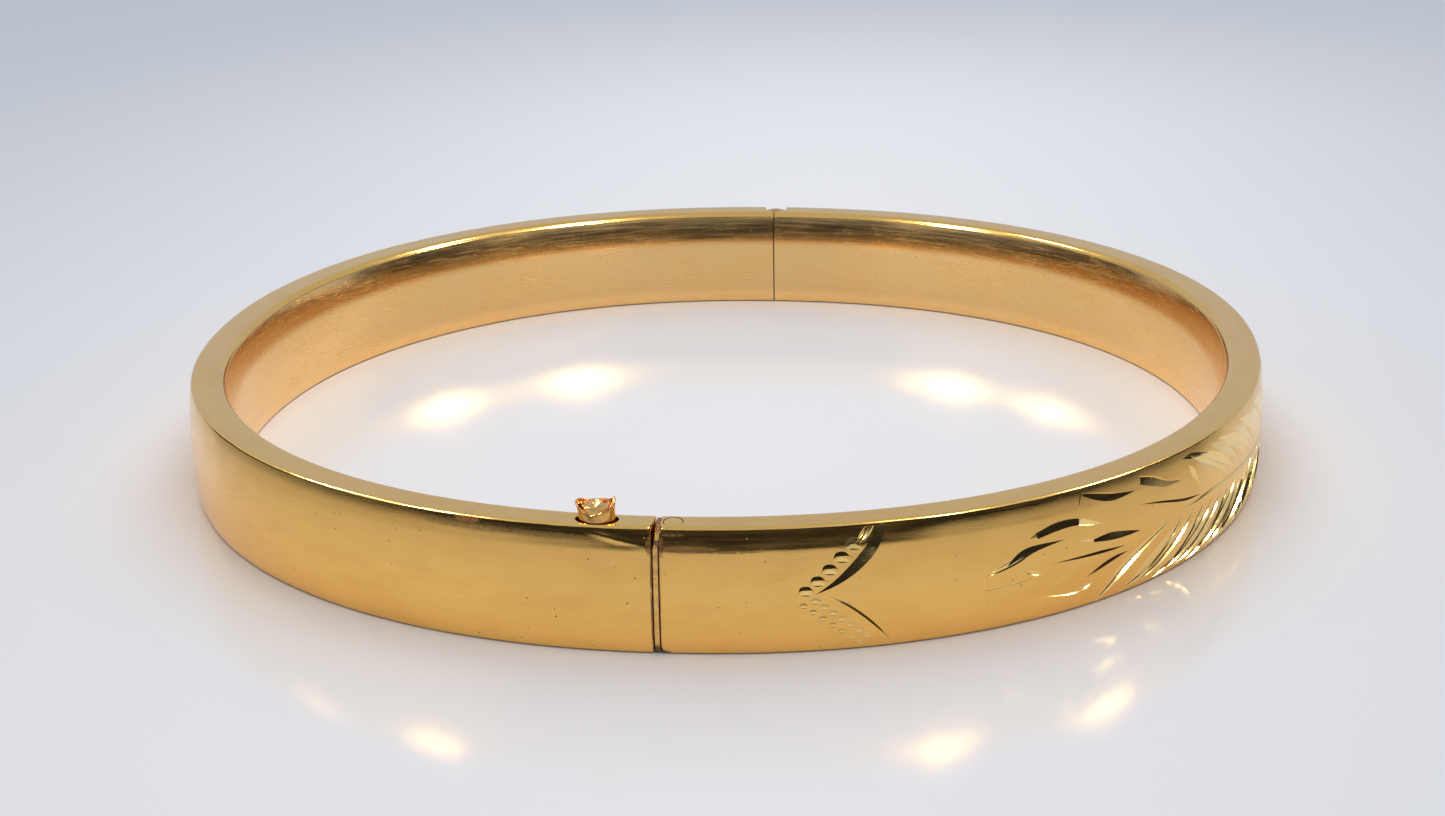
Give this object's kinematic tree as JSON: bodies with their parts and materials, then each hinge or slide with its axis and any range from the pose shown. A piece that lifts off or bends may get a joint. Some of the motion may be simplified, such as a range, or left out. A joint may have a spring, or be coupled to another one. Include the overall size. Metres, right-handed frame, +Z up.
{
  "type": "bangle bracelet",
  "caption": "Hollow oval hinged bangle in gold-coloured metal, one half plain and one engraved with leaves, with a hinge at the back and a push-button tongue clasp at the front.",
  "frame": {"origin": "centre of the oval, on the plane that the lower edge stands on", "axes": "+Z up through the wrist opening, -Y towards the clasp seam, +Y towards the hinge, +X towards the engraved half"},
  "size_m": [0.0616, 0.0646, 0.0076],
  "materials": {
    "plain_gold": "worn polished yellow gold",
    "engraved_gold": "worn polished yellow gold with bright-cut engraving",
    "lining_gold": "satin yellow gold",
    "plate_gold": "dull yellow gold",
    "hinge_brass": "dull, tarnished in the corners",
    "inner_brass": "unpolished",
    "spring_bronze": "drawn spring strip",
    "button_gold": "worn, coppery at the rim",
    "button_solder": "cast, lumpy"
  },
  "bodies": {
    "plain_half": {"plain_outer_shell": "plain_gold", "plain_inner_lining": "lining_gold", "mouth_plate": "plate_gold", "snap_box_tray": "inner_brass", "plain_hinge_seat": "inner_brass", "hinge_knuckle_1": "hinge_brass", "hinge_knuckle_3": "hinge_brass", "hinge_knuckle_5": "hinge_brass", "hinge_pin": "hinge_brass"},
    "engraved_half": {"engraved_outer_shell": "engraved_gold", "engraved_inner_lining": "lining_gold", "tongue_plate": "plate_gold", "engraved_hinge_seat": "inner_brass", "hinge_knuckle_2": "hinge_brass", "hinge_knuckle_4": "hinge_brass", "tongue_base": "spring_bronze", "tongue_rivet": "plate_gold"},
    "tongue_leaf": {"spring_leaf": "spring_bronze"},
    "push_button": {"button_cup": "button_gold", "button_core": "button_solder"}
  },
  "joints": [
    {"name": "main_hinge", "type": "hinge", "parent": "plain_half", "child": "engraved_half", "pos_m": [0, 0.03155, 0], "axis": [0, 0, 1], "range_deg": [0, 50]},
    {"name": "button_press", "type": "slide", "parent": "engraved_half", "child": "push_button", "axis": [0, 0, -1], "range_m": [0, 0.0016], "stiffness_N_per_m": 2000, "springref_m": -0.0003},
    {"name": "leaf_flex", "type": "hinge", "parent": "engraved_half", "child": "tongue_leaf", "pos_m": [-0.00715, -0.03042, 0.0032], "axis": [0.219, 0.9757, 0], "range_deg": [0, 20.3]}
  ],
  "couplings": [
    {"joint": "leaf_flex", "follows": "button_press", "rad_per_m": 219.8}
  ]
}
